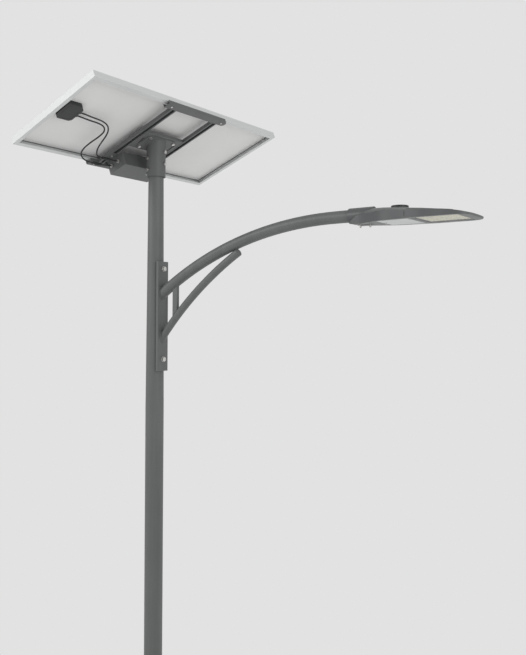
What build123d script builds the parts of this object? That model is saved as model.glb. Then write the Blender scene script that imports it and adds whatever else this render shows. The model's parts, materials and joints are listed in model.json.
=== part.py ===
from build123d import *
import os
from math import asin, cos, degrees, radians, sin, tan

# Solar street lamp: a round steel pole with a curved bracket arm, an LED lantern on the
# arm, and a framed solar panel on a mitred swivel sleeve at the pole top.
# Millimetres. Z is up, the origin is on the pole axis at the ground, +X points along the arm,
# and the panel's long side lies along Y.

os.makedirs("parts", exist_ok=True)

# ---------------------------------------------------------------- pole and base
POLE_LOW_D = 104.0
POLE_TOP_D = 85.0
POLE_WALL = 4.0
POLE_TOP_Z = 4646.0
TAPER_START_Z = 3190.0
BASE_SIDE = 320.0
BASE_THICK = 16.0
BASE_CORNER_R = 20.0
ANCHOR_SPACING = 240.0
ANCHOR_HOLE_D = 24.0
WIRE_HOLE_D = 70.0
GUSSET_HEIGHT = 150.0
GUSSET_THICK = 8.0
GUSSET_REACH = 62.0

# ---------------------------------------------------------------- arm bracket on the pole
BRACKET_FACE_X = 62.0
BRACKET_WIDTH = 84.0
BRACKET_DEPTH = 18.0
BRACKET_WALL = 5.0
BRACKET_BOTTOM_Z = 3380.0
BRACKET_TOP_Z = 4002.0
BRACKET_BOLT_D = 16.0
BRACKET_BOLT_Z = (3447.0, 3960.0)
BRACKET_BOLT_AF = 24.0
WELD_NUT_D = 28.0
WELD_NUT_LENGTH = 14.0
WASHER_D = 30.0
WASHER_THICK = 3.0

# ---------------------------------------------------------------- arm, brace and strut
ARM_D = 60.0
ARM_WALL = 3.0
ARM_RADIUS = 2030.0
ARM_LEVEL_X = 1200.0
ARM_AXIS_Z = 4172.0
ARM_END_X = 1392.0
BRACE_D = 42.0
BRACE_WALL = 3.0
BRACE_RADIUS = 2030.0
BRACE_START_Z = 3574.0
BRACE_START_SLOPE = 50.3
BRACE_END_SLOPE = 30.2
BRACE_CAP = 3.0
ROOT_RUN_IN = 30.0
STRUT_X = 158.5
STRUT_WIDTH = 31.0
STRUT_THICK = 20.0
STRUT_WALL = 3.0

# ---------------------------------------------------------------- solar panel
PANEL_LONG = 1480.0
PANEL_SHORT = 670.0
PANEL_HEIGHT = 35.0
PANEL_TILT = 21.0
PANEL_Z = 4700.0
FRAME_WALL = 2.0
FRAME_FLANGE = 24.0
FRAME_FLANGE_THICK = 1.8
FRAME_LIP = 8.0
FRAME_SHELF = 10.0
GLASS_THICK = 3.2
CELL_THICK = 0.8
BACKSHEET_THICK = 0.5
LAMINATE_GAP = 1.0
CELL_SIDE = 152.0
CELL_PITCH = 156.0
CELL_ROWS = 9
CELL_COLUMNS = 4

# ---------------------------------------------------------------- panel carrier
RAIL_WIDTH = 40.0
RAIL_DEPTH = 20.0
RAIL_WALL = 2.5
RAIL_SLOT = 20.0
RAIL_Y = 168.0
CROSS_WIDTH = 44.0
CROSS_OVERHANG = 10.0
CROSS_HALF_LENGTH = 242.0
CROSS_NOSE = 14.0
CLAMP_Y = 205.0
CLAMP_BOLT_D = 6.0
HOLE_EASE = 0.3
PLATE_LENGTH = 158.0
PLATE_THICK = 4.0
PLATE_SLOT_Y = 122.0
PLATE_SLOT_LENGTH = 66.0
PLATE_SLOT_WIDTH = 13.0
SIDE_SCREW_D = 6.0
FLANGE_LENGTH = 132.0
FLANGE_WIDTH = 220.0
FLANGE_THICK = 5.0
FLANGE_CORNER = 18.0
FLANGE_BOLT_D = 10.0
FLANGE_BOLT_S = 48.0
FLANGE_BOLT_Y = 92.0

# ---------------------------------------------------------------- swivel sleeve
SLEEVE_D = 108.0
SLEEVE_WALL = 5.0
SLEEVE_BOTTOM_Z = 4488.0
SLEEVE_SCREW_D = 12.0
SLEEVE_SEAT_D = 25.0
# angle round the pole, then the height of each screw above the sleeve's lower rim
SLEEVE_COLUMNS = ((14.0, (74.0, 141.0)), (134.0, (37.0, 104.0)), (-106.0, (37.0, 104.0)))
SCREW_TIP_GAP = 0.5
EARTH_SCREW_D = 6.0
EARTH_SCREW_ANGLE = -126.0
EARTH_SCREW_HEIGHT = 13.0

# ---------------------------------------------------------------- battery box
BOX_S0 = -282.0
BOX_S1 = -148.0
BOX_Y0 = -142.0
BOX_Y1 = 158.0
BOX_DROP = 78.0
BOX_WALL = 2.0
BOX_CORNER_R = 5.0
BOX_LID_THICK = 3.0
BOX_EAR_WIDTH = 60.0
BOX_EAR_S = -209.0
BOX_LUG_S = 14.0
BOX_LUG_Y = 26.0
BOX_LUG_DEEP = 10.0
LID_SCREW_D = 4.0
GLAND_S = (-193.0, -250.0)
GLAND_DEPTH = 61.0
GLAND_HOLE_D = 14.0
GLAND_RING_AF = 19.0
GLAND_OUT = 8.0

# ---------------------------------------------------------------- panel leads
LEAD_D = 8.0
JB_LENGTH = 134.0
JB_WIDTH = 112.0
JB_DEPTH = 22.0
JB_S = 22.0
JB_Y = -642.0
JB_WALL = 2.5
JB_CUT = 26.0
JB_LID_THICK = 4.0
JB_GLAND_AF = 14.0
JB_GLAND_OUT = 8.0
CONNECTOR_D = 17.0
# centre lines in the carrier frame: from the junction box to the first connector,
# and from the second connector to the battery box
LEAD_A = (
    (30, -578, 18),
    (30, -550, 18),
    (37, -500, 4),
    (42, -446, -4),
    (28, -398, -11),
    (-4, -367, -17),
    (-46, -351, -25),
    (-98, -344, -34),
    (-144, -336, -45),
    (-180, -317, -55),
    (-196, -291, -60),
    (-196, -263, -60),
)
LEAD_B = (
    (0, -578, 18),
    (0, -550, 18),
    (8, -500, 4),
    (16, -452, -4),
    (8, -406, -9),
    (-22, -378, -15),
    (-68, -380, -22),
    (-120, -397, -31),
    (-172, -408, -41),
    (-213, -401, -51),
    (-238, -372, -60),
    (-249, -330, -68),
    (-249, -296, -68),
)
PIGTAIL_A = (
    (-196, -202, -60),
    (-196, -185, -60),
    (-193, -168, -61),
    (-193, -152, -61),
)
PIGTAIL_B = (
    (-249, -226, -68),
    (-249, -202, -68),
    (-250, -176, -61),
    (-250, -152, -61),
)

# ---------------------------------------------------------------- lantern
# stations along the shell: x, half width, shoulder height and crown height above the arm axis
LAMP_STATIONS = (
    (1264, 42, -20, 30),
    (1340, 50, -10, 29),
    (1400, 72, -4, 27),
    (1460, 101, -1, 24),
    (1530, 116, -3, 18.5),
    (1620, 125, -8, 8.5),
    (1720, 132, -15, -3.5),
    (1800, 132, -22, -14.5),
    (1850, 124, -29, -24),
    (1876, 106, -34, -30.5),
    (1889, 86, -36.5, -34),
)
LAMP_FLOOR = -45.0
LAMP_SHELL = 3.5
CAVITY_X0 = 1412.0
CAVITY_X1 = 1868.0
BAY_WALL_X = 1622.0
COLLAR_D = 74.0
COLLAR_START_X = 1270.0
COLLAR_END_X = 1400.0
COLLAR_SPACE_X = 1409.0
COLLAR_GAP = 2.5
COLLAR_SCREW_X = (1328.0, 1380.0)
COLLAR_SCREW_D = 10.0
COLLAR_SCREW_DROP = 59.0
TILT_PIVOT_X = 1422.0
TILT_PIVOT_D = 10.0
TILT_EYE_WIDTH = 36.0
TILT_LUG = 8.0
TILT_FIT = 0.05
TILT_LUG_REACH = 14.0
TILT_PASSAGE = 20.0
# the curved rim behind which the shell is cut away over the collar: x and height above the axis
SCOOP_RIM = ((1409.0, 16.0), (1342.0, 0.0), (1290.0, -38.0))
COVER_X0 = 1453.0
COVER_X1 = 1613.0
COVER_HALF_REAR = 86.0
COVER_HALF_FRONT = 97.0
COVER_THICK = 3.0
COVER_GAP = 1.0
HINGE_X = 1611.0
HINGE_RISE = 5.0
HINGE_PIN_D = 4.0
HINGE_Y = 60.0
HINGE_GAP = 4.0
LATCH_STEM_D = 8.0
LATCH_KNOB_D = 16.0
LATCH_KNOB_HEIGHT = 4.0
LATCH_REACH = 16.0
LATCH_TAIL = 7.0
LATCH_WIDTH = 7.0
LATCH_TONGUE = 2.7
LATCH_GAP = 0.3
LATCH_X = 1463.0
WINDOW_X0 = 1630.0
WINDOW_X1 = 1846.0
WINDOW_HALF_WIDTH = 108.0
GLASS_LAP = 6.0
GLASS_FIT = 0.3
LEDGE_WIDTH = 5.0
LEDGE_THICK = 3.5
LAMP_GLASS = 4.0
LAMP_GASKET = 1.0
LED_ROWS = 12
LED_COLUMNS = 12
LED_SIDE = 7.0
LED_HEIGHT = 1.5
LED_BOARD = 6.0
LED_GAP = 0.5
BOARD_EDGE = 2.0
BOARD_POST_INSET = (20.0, 16.0)
BOARD_POST_D = 12.0
GEAR_TOP = -8.0
GEAR_POST_X = (1488.0, 1582.0)
DRIVER_Y = -36.0
TERMINAL_Y = 36.0
PHOTOCELL_X = 1530.0
PHOTOCELL_D = 80.0
PHOTOCELL_TOP = 29.5
PHOTOCELL_SEAT = 20.5
PHOTOCELL_RING_D = 66.0
PHOTOCELL_FIT = 0.08

TILT_SIN = sin(radians(PANEL_TILT))
TILT_COS = cos(radians(PANEL_TILT))
# carrier frame: X runs up the panel's slope, Y along its long side, Z out of the glass,
# and Z = 0 is the underside of the panel's aluminium frame
HEAD = Plane(
    origin=(0, 0, PANEL_Z),
    x_dir=(TILT_COS, 0, TILT_SIN),
    z_dir=(-TILT_SIN, 0, TILT_COS),
)


def block(x0, x1, y0, y1, z0, z1):
    """A box between two corners."""
    centre = Pos((x0 + x1) / 2, (y0 + y1) / 2, (z0 + z1) / 2)
    return centre * Box(x1 - x0, y1 - y0, z1 - z0)


def rod(diameter, start, end):
    """A round bar between two points."""
    direction = Vector(*end) - Vector(*start)
    axis = Plane(origin=start, z_dir=direction)
    return axis * Cylinder(diameter / 2, direction.length, align=(Align.CENTER, Align.CENTER, Align.MIN))


def hexagon(across_flats, height):
    """A hexagonal prism standing on z = 0, its outer rim eased."""
    prism = extrude(RegularPolygon(across_flats / 2, 6, major_radius=False), height)
    return prism & Cylinder(
        across_flats * 0.56, height, align=(Align.CENTER, Align.CENTER, Align.MIN)
    )


def screw(diameter, length, across_flats, head):
    """A hex screw: its head stands on z = 0 and its shank points down."""
    shank = Cylinder(diameter / 2, length, align=(Align.CENTER, Align.CENTER, Align.MAX))
    return shank + hexagon(across_flats, head)


def pan_screw(diameter, length, head_d, head):
    """A pan-head screw with a cross recess."""
    shank = Cylinder(diameter / 2, length, align=(Align.CENTER, Align.CENTER, Align.MAX))
    cap = Cylinder(head_d / 2, head, align=(Align.CENTER, Align.CENTER, Align.MIN))
    cap = fillet(cap.edges().group_by(Axis.Z)[-1], head * 0.4)
    recess = Pos(0, 0, head) * (
        Box(head_d * 0.55, head_d * 0.12, head) + Box(head_d * 0.12, head_d * 0.55, head)
    )
    return shank + (cap - recess)


def ring(outer, inner, height):
    """A flat ring standing on z = 0."""
    body = Cylinder(outer / 2, height, align=(Align.CENTER, Align.CENTER, Align.MIN))
    return body - Cylinder(inner / 2, height * 3)


def nut(diameter, across_flats, height):
    """A hex nut standing on z = 0."""
    return hexagon(across_flats, height) - Cylinder(diameter / 2, height * 3)


def save(name, *solids):
    """Write one named piece, or one group of identical pieces, to its own file."""
    shape = solids[0] if len(solids) == 1 else Compound(children=list(solids))
    export_step(shape, "parts/" + name + ".step")


def pole_radius(z):
    """The pole's outer radius at height z."""
    if z <= TAPER_START_Z:
        return POLE_LOW_D / 2
    part = (z - TAPER_START_Z) / (POLE_TOP_Z - TAPER_START_Z)
    return POLE_LOW_D / 2 + part * (POLE_TOP_D - POLE_LOW_D) / 2


def pole_envelope(inset=0.0):
    """The pole as a solid of revolution, each surface moved inwards by the inset."""
    low = POLE_LOW_D / 2 - inset
    top = POLE_TOP_D / 2 - inset
    with BuildPart() as turned:
        with BuildSketch(Plane.XZ):
            Polygon(
                (0, BASE_THICK),
                (low, BASE_THICK),
                (low, TAPER_START_Z),
                (top, POLE_TOP_Z),
                (0, POLE_TOP_Z),
                align=None,
            )
        revolve(axis=Axis.Z)
    return turned.part


# ================================================================ pole and base
def build_pole():
    shaft = pole_envelope() - pole_envelope(POLE_WALL)
    for z in BRACKET_BOLT_Z:
        shaft -= rod(BRACKET_BOLT_D + 1, (0, 0, z), (POLE_LOW_D, 0, z))
    save("pole_shaft", shaft)

    plate = extrude(RectangleRounded(BASE_SIDE, BASE_SIDE, BASE_CORNER_R), BASE_THICK)
    plate = chamfer(plate.edges().group_by(Axis.Z)[-1], 2)
    half = ANCHOR_SPACING / 2
    for x in (-half, half):
        for y in (-half, half):
            plate -= Pos(x, y, 0) * Cylinder(ANCHOR_HOLE_D / 2, BASE_THICK * 3)
    plate -= Cylinder(WIRE_HOLE_D / 2, BASE_THICK * 3)
    save("base_plate", plate)

    inner = POLE_LOW_D / 2
    outer = inner + GUSSET_REACH
    profile = Polygon(
        (inner - 2, 0),
        (outer, 0),
        (outer, GUSSET_THICK),
        (inner + GUSSET_THICK, GUSSET_HEIGHT),
        (inner - 2, GUSSET_HEIGHT),
        align=None,
    )
    web = extrude(Plane.XZ * profile, GUSSET_THICK / 2, both=True)
    web = Pos(0, 0, BASE_THICK) * web - pole_envelope()
    save("base_gussets", *[Rot(0, 0, 90 * turn) * web for turn in range(4)])


# ================================================================ bracket, arm, brace
def build_bracket():
    """A shallow box section whose open back is coped to the pole, and its two bolts."""
    half = BRACKET_WIDTH / 2
    back_x = BRACKET_FACE_X - BRACKET_DEPTH
    section = block(back_x, BRACKET_FACE_X, -half, half, BRACKET_BOTTOM_Z, BRACKET_TOP_Z)
    section = fillet(section.edges().filter_by(Axis.Z), BRACKET_WALL * 0.9)
    side = half - BRACKET_WALL
    inner = (back_x + BRACKET_WALL, BRACKET_FACE_X - BRACKET_WALL)
    section -= block(inner[0], inner[1], -side, side, BRACKET_BOTTOM_Z - 1, BRACKET_TOP_Z + 1)
    section -= pole_envelope()
    for z in BRACKET_BOLT_Z:
        section -= rod(BRACKET_BOLT_D + 1, (0, 0, z), (2 * BRACKET_FACE_X, 0, z))
    save("arm_bracket", section)

    bolts = []
    washers = []
    nuts = []
    for z in BRACKET_BOLT_Z:
        front = Plane(origin=(BRACKET_FACE_X, 0, z), z_dir=(1, 0, 0))
        nut_end = pole_radius(z) - POLE_WALL - WELD_NUT_LENGTH
        length = BRACKET_FACE_X + WASHER_THICK - nut_end
        bolts.append(front * Pos(0, 0, WASHER_THICK) * screw(BRACKET_BOLT_D, length, BRACKET_BOLT_AF, 10))
        washers.append(front * ring(WASHER_D, BRACKET_BOLT_D + 1, WASHER_THICK))
        # each weld nut is a round boss shaped to the pole's inner wall
        boss = rod(WELD_NUT_D, (nut_end, 0, z), (BRACKET_FACE_X, 0, z)) & pole_envelope(POLE_WALL)
        nuts.append(boss - rod(BRACKET_BOLT_D, (0, 0, z), (POLE_LOW_D, 0, z)))
    save("bracket_bolts", *bolts)
    save("bracket_washers", *washers)
    save("bracket_nuts", *nuts)


def arm_line():
    """The arm's centre line: one large arc that levels out, then a straight spigot."""
    centre_z = ARM_AXIS_Z - ARM_RADIUS
    start_x = BRACKET_FACE_X - ROOT_RUN_IN
    start = asin((ARM_LEVEL_X - start_x) / ARM_RADIUS)
    with BuildLine(Plane.XZ) as line:
        CenterArc((ARM_LEVEL_X, centre_z), ARM_RADIUS, 90, degrees(start))
        Line((ARM_LEVEL_X, ARM_AXIS_Z), (ARM_END_X, ARM_AXIS_Z))
    return line.line


def arm_solid(diameter):
    end = Plane(origin=(ARM_END_X, 0, ARM_AXIS_Z), z_dir=(-1, 0, 0))
    return sweep(end * Circle(diameter / 2), path=arm_line())


def brace_solid(diameter, short=0.0):
    """The brace's arc as a solid bar, its free end drawn back by a given length."""
    slope = radians(BRACE_START_SLOPE)
    centre_x = BRACKET_FACE_X + BRACE_RADIUS * sin(slope)
    centre_z = BRACE_START_Z - BRACE_RADIUS * cos(slope)
    run_in = degrees(ROOT_RUN_IN / BRACE_RADIUS)
    end_slope = BRACE_END_SLOPE + degrees(short / BRACE_RADIUS)
    sweep_angle = BRACE_START_SLOPE + run_in - end_slope
    with BuildLine(Plane.XZ) as line:
        CenterArc((centre_x, centre_z), BRACE_RADIUS, 90 + end_slope, sweep_angle)
    end = radians(end_slope)
    end_x = centre_x - BRACE_RADIUS * sin(end)
    end_z = centre_z + BRACE_RADIUS * cos(end)
    face = Plane(origin=(end_x, 0, end_z), z_dir=(-cos(end), 0, -sin(end)))
    return sweep(face * Circle(diameter / 2), path=line.line)


def build_arm():
    behind = block(-100, BRACKET_FACE_X, -100, 100, BRACKET_BOTTOM_Z - 300, BRACKET_TOP_Z + 300)
    arm_outer = arm_solid(ARM_D)
    arm = arm_outer - arm_solid(ARM_D - 2 * ARM_WALL) - behind
    save("arm_tube", arm)

    brace_outer = brace_solid(BRACE_D)
    bore = brace_solid(BRACE_D - 2 * BRACE_WALL, BRACE_CAP)
    brace = brace_outer - bore - behind - arm_outer
    save("brace_tube", brace)

    half = STRUT_WIDTH / 2
    edge = STRUT_THICK / 2
    low = BRACE_START_Z
    high = ARM_AXIS_Z
    bar = block(STRUT_X - half, STRUT_X + half, -edge, edge, low, high)
    half -= STRUT_WALL
    edge -= STRUT_WALL
    bar -= block(STRUT_X - half, STRUT_X + half, -edge, edge, low - 1, high + 1)
    bar = bar - arm_outer - brace_outer
    middle = bar.solids().sort_by_distance((STRUT_X, 0, (ARM_AXIS_Z + BRACE_START_Z) / 2 - 70))[0]
    save("arm_strut", middle)


# ================================================================ solar panel
def frame_profile():
    """The frame's section: across from the outer face in, and up from the underside."""
    lip_low = PANEL_HEIGHT - 1.5
    shelf_top = lip_low - GLASS_THICK - CELL_THICK - BACKSHEET_THICK
    shelf_low = shelf_top - 1.6
    return Polygon(
        (0, 0),
        (FRAME_FLANGE, 0),
        (FRAME_FLANGE, FRAME_FLANGE_THICK),
        (FRAME_WALL, FRAME_FLANGE_THICK),
        (FRAME_WALL, shelf_low),
        (FRAME_SHELF, shelf_low),
        (FRAME_SHELF, shelf_top),
        (FRAME_WALL, shelf_top),
        (FRAME_WALL, lip_low),
        (FRAME_LIP, lip_low),
        (FRAME_LIP, PANEL_HEIGHT),
        (0, PANEL_HEIGHT),
        align=None,
    )


def frame_side(length, offset):
    """One mitred frame side lying along Y with its outer face at x = -offset."""
    plane = Plane(origin=(-offset, -length / 2, 0), x_dir=(1, 0, 0), z_dir=(0, 1, 0))
    # the sketch plane's own Y runs down, so the section is drawn mirrored
    bar = extrude(plane * mirror(frame_profile(), about=Plane.XZ), length)
    reach = 2 * FRAME_FLANGE
    for end in (-1, 1):
        corner = Polygon(
            (-offset, end * length / 2),
            (-offset + reach, end * (length / 2 - reach)),
            (-offset + reach, end * (length / 2 + 1)),
            (-offset, end * (length / 2 + 1)),
            align=None,
        )
        bar -= extrude(corner, 2 * PANEL_HEIGHT, both=True)
    return bar


def panel_levels():
    """Heights of the laminate's layers above the frame's underside."""
    top = PANEL_HEIGHT - 1.5
    glass_low = top - GLASS_THICK
    cell_low = glass_low - CELL_THICK
    sheet_low = cell_low - BACKSHEET_THICK
    return top, glass_low, cell_low, sheet_low


def clamp_s():
    """How far from the panel's middle its clamp bolts pass through the frame's flange."""
    return PANEL_SHORT / 2 - FRAME_FLANGE / 2


def build_panel():
    long_side = frame_side(PANEL_LONG, PANEL_SHORT / 2)
    for y in (-CLAMP_Y, CLAMP_Y):
        long_side -= Pos(-clamp_s(), y, 0) * Cylinder(CLAMP_BOLT_D / 2 + HOLE_EASE, PANEL_HEIGHT / 2)
    short_side = frame_side(PANEL_SHORT, PANEL_LONG / 2)
    save("frame_long_sides", *[HEAD * Rot(0, 0, turn) * long_side for turn in (0, 180)])
    save("frame_short_ends", *[HEAD * Rot(0, 0, turn) * short_side for turn in (90, -90)])

    top, glass_low, cell_low, sheet_low = panel_levels()
    half_s = PANEL_SHORT / 2 - FRAME_WALL - LAMINATE_GAP
    half_y = PANEL_LONG / 2 - FRAME_WALL - LAMINATE_GAP
    save("panel_glass", HEAD * block(-half_s, half_s, -half_y, half_y, glass_low, top))
    cells = []
    corner = CELL_SIDE / 2
    ear = 8.0
    outline = Polygon(
        (-corner + ear, -corner),
        (corner - ear, -corner),
        (corner, -corner + ear),
        (corner, corner - ear),
        (corner - ear, corner),
        (-corner + ear, corner),
        (-corner, corner - ear),
        (-corner, -corner + ear),
        align=None,
    )
    wafer = Pos(0, 0, cell_low) * extrude(outline, CELL_THICK)
    for column in range(CELL_COLUMNS):
        for row in range(CELL_ROWS):
            s = (column - (CELL_COLUMNS - 1) / 2) * CELL_PITCH
            y = (row - (CELL_ROWS - 1) / 2) * CELL_PITCH
            cells.append(Pos(s, y, 0) * wafer)
    save("solar_cells", *[HEAD * cell for cell in cells])
    save("backsheet", HEAD * block(-half_s, half_s, -half_y, half_y, sheet_low, cell_low))


# ================================================================ carrier and swivel sleeve
def carrier_bolt(s, y, z, diameter, length, across_flats, head):
    """A bolt whose head is below, pointing up the carrier's own Z."""
    return HEAD * Pos(s, y, z) * Rot(180, 0, 0) * screw(diameter, length, across_flats, head)


def strut_rail(length):
    """A slotted channel along X, its slot facing down, its top at z = 0."""
    half = RAIL_WIDTH / 2
    bar = block(-length / 2, length / 2, -half, half, -RAIL_DEPTH, 0)
    corners = bar.edges().filter_by(Axis.X)
    bar = fillet(corners, RAIL_WALL * 0.8)
    inner = half - RAIL_WALL
    bar -= block(-length, length, -inner, inner, -RAIL_DEPTH + RAIL_WALL, -RAIL_WALL)
    return bar - block(-length, length, -RAIL_SLOT / 2, RAIL_SLOT / 2, -RAIL_DEPTH - 1, -RAIL_WALL)


def cross_channel():
    """A channel along Y, open upwards and at its ends, with a chamfered nose."""
    half = CROSS_WIDTH / 2
    end = CROSS_HALF_LENGTH
    bar = block(-half, half, -end, end, -RAIL_DEPTH, 0)
    lower = bar.edges().filter_by(Axis.Y).group_by(Axis.Z)[0]
    bar = fillet(lower, RAIL_WALL)
    inner = half - RAIL_WALL
    bar -= block(-inner, inner, -end - 1, end + 1, -RAIL_DEPTH + RAIL_WALL, 1)
    cut = Polygon((0, 0), (CROSS_NOSE, 0), (0, CROSS_NOSE), align=None)
    nose = extrude(cut, 4 * RAIL_DEPTH, both=True)
    bar -= Pos(-half, end, 0) * Rot(0, 0, -90) * nose
    return bar - Pos(half, end, 0) * Rot(0, 0, 180) * nose


def cross_middle():
    """How far up and down the slope the two cross channels lie."""
    return PANEL_SHORT / 2 + CROSS_OVERHANG - CROSS_WIDTH / 2


def build_carrier():
    middle = cross_middle()
    channel = cross_channel()
    rail = strut_rail(2 * (middle - CROSS_WIDTH / 2))
    bolts = []
    nuts = []
    upper = Pos(middle, 0, 0) * channel
    lower = Pos(-middle, 0, 0) * mirror(channel, about=Plane.YZ)
    for y in (-CLAMP_Y, CLAMP_Y):
        for side in (-1, 1):
            s = side * clamp_s()
            hole = Pos(s, y, 0) * Cylinder(CLAMP_BOLT_D / 2 + HOLE_EASE, 4 * RAIL_DEPTH)
            upper -= hole
            lower -= hole
            length = RAIL_DEPTH + FRAME_FLANGE_THICK + 7
            bolts.append(carrier_bolt(s, y, -RAIL_DEPTH, CLAMP_BOLT_D, length, 10, 4))
            nuts.append(HEAD * Pos(s, y, FRAME_FLANGE_THICK) * nut(CLAMP_BOLT_D, 10, 5))
    save("cross_channels", HEAD * upper, HEAD * lower)
    save("panel_clamp_bolts", *bolts)
    save("panel_clamp_nuts", *nuts)

    # the mounting plate is a folded tray between the rails, open towards the panel
    centre_s = -(RAIL_DEPTH + FLANGE_THICK) * tan(radians(PANEL_TILT))
    half_y = RAIL_Y - RAIL_WIDTH / 2
    half_s = PLATE_LENGTH / 2
    floor = -RAIL_DEPTH
    tray = block(-half_s, half_s, -half_y, half_y, floor, 0)
    tray = fillet(tray.edges().group_by(Axis.Z)[0], PLATE_THICK * 0.9)
    inner_s = half_s - PLATE_THICK
    inner_y = half_y - PLATE_THICK
    tray -= block(-inner_s, inner_s, -inner_y, inner_y, floor + PLATE_THICK, 1)
    for y in (-PLATE_SLOT_Y, PLATE_SLOT_Y):
        slot = SlotOverall(PLATE_SLOT_LENGTH, PLATE_SLOT_WIDTH)
        tray -= Pos(0, y, floor - 1) * extrude(slot, PLATE_THICK + 2)
    along = FLANGE_LENGTH / 2
    across = FLANGE_WIDTH / 2
    flange = block(-along, along, -across, across, 0, FLANGE_THICK)
    flange = chamfer(flange.edges().filter_by(Axis.Z), FLANGE_CORNER)
    flange = Pos(0, 0, floor - FLANGE_THICK) * flange
    head_z = floor - FLANGE_THICK
    flange_bolts = []
    flange_nuts = []
    for s in (-FLANGE_BOLT_S, FLANGE_BOLT_S):
        for y in (-FLANGE_BOLT_Y, FLANGE_BOLT_Y):
            hole = Pos(s, y, floor) * Cylinder(FLANGE_BOLT_D / 2 + 0.5, 4 * RAIL_DEPTH)
            tray -= hole
            flange -= hole
            at = s + centre_s
            grip = FLANGE_THICK + PLATE_THICK
            flange_bolts.append(carrier_bolt(at, y, head_z, FLANGE_BOLT_D, grip + 11, 17, 6.4))
            top = floor + PLATE_THICK
            flange_nuts.append(HEAD * Pos(at, y, top) * nut(FLANGE_BOLT_D, 17, 8))
    side_screws = []
    for s in (-half_s / 2, half_s / 2):
        drill = Pos(s, 0, floor / 2) * Rot(90, 0, 0)
        tray -= drill * Cylinder(SIDE_SCREW_D / 2 + HOLE_EASE, 3 * half_y)
    save("mounting_plate", HEAD * Pos(centre_s, 0, 0) * tray)
    save("sleeve_flange", HEAD * Pos(centre_s, 0, 0) * flange)
    save("flange_bolts", *flange_bolts)
    save("flange_nuts", *flange_nuts)
    rails = []
    for side in (-1, 1):
        placed = Pos(0, side * RAIL_Y, 0) * rail
        for s in (-half_s / 2, half_s / 2):
            at = Plane(origin=(s + centre_s, side * inner_y, -RAIL_DEPTH / 2), z_dir=(0, -side, 0))
            length = PLATE_THICK + RAIL_WALL + 4
            placed -= at * Cylinder(SIDE_SCREW_D / 2 + HOLE_EASE, 2 * length)
            side_screws.append(HEAD * at * pan_screw(SIDE_SCREW_D, length, 11, 3.5))
        rails.append(HEAD * placed)
    save("carrier_rails", *rails)
    save("plate_side_screws", *side_screws)


def build_sleeve():
    reach = SLEEVE_D
    tube = Pos(0, 0, SLEEVE_BOTTOM_Z) * Cylinder(
        SLEEVE_D / 2, 3 * reach, align=(Align.CENTER, Align.CENTER, Align.MIN)
    )
    bore = Pos(0, 0, SLEEVE_BOTTOM_Z - 1) * Cylinder(
        SLEEVE_D / 2 - SLEEVE_WALL, 3 * reach + 2, align=(Align.CENTER, Align.CENTER, Align.MIN)
    )
    tube -= bore
    above = HEAD * block(-2 * reach, 2 * reach, -reach, reach, -RAIL_DEPTH - FLANGE_THICK, 8 * reach)
    tube -= above
    screws = []
    outer = SLEEVE_D / 2
    for angle, heights in SLEEVE_COLUMNS:
        for height in heights:
            z = SLEEVE_BOTTOM_Z + height
            out = (cos(radians(angle)), sin(radians(angle)), 0)
            tip = pole_radius(z) + SCREW_TIP_GAP
            boss_out = outer + 1.0
            axis = Plane(origin=(boss_out * out[0], boss_out * out[1], z), z_dir=out)
            pad = axis * Cylinder(SLEEVE_SEAT_D / 2, 8, align=(Align.CENTER, Align.CENTER, Align.MAX))
            tube += pad - Pos(0, 0, z) * Cylinder(outer - SLEEVE_WALL / 2, SLEEVE_D)
            tube -= axis * Cylinder(SLEEVE_SCREW_D / 2, 6 * SLEEVE_WALL)
            screws.append(axis * screw(SLEEVE_SCREW_D, boss_out - tip, 19, 7.5))
    angle = radians(EARTH_SCREW_ANGLE)
    out = (cos(angle), sin(angle), 0)
    earth_z = SLEEVE_BOTTOM_Z + EARTH_SCREW_HEIGHT
    face = Plane(origin=(outer * out[0], outer * out[1], earth_z), z_dir=out)
    tube -= face * Cylinder(EARTH_SCREW_D / 2, 4 * SLEEVE_WALL)
    save("earth_screw", face * screw(EARTH_SCREW_D, SLEEVE_WALL + 1, 10, 4))
    save("swivel_sleeve", tube)
    save("sleeve_screws", *screws)


# ================================================================ battery box
def box_top():
    return -RAIL_DEPTH - BOX_LID_THICK


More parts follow.
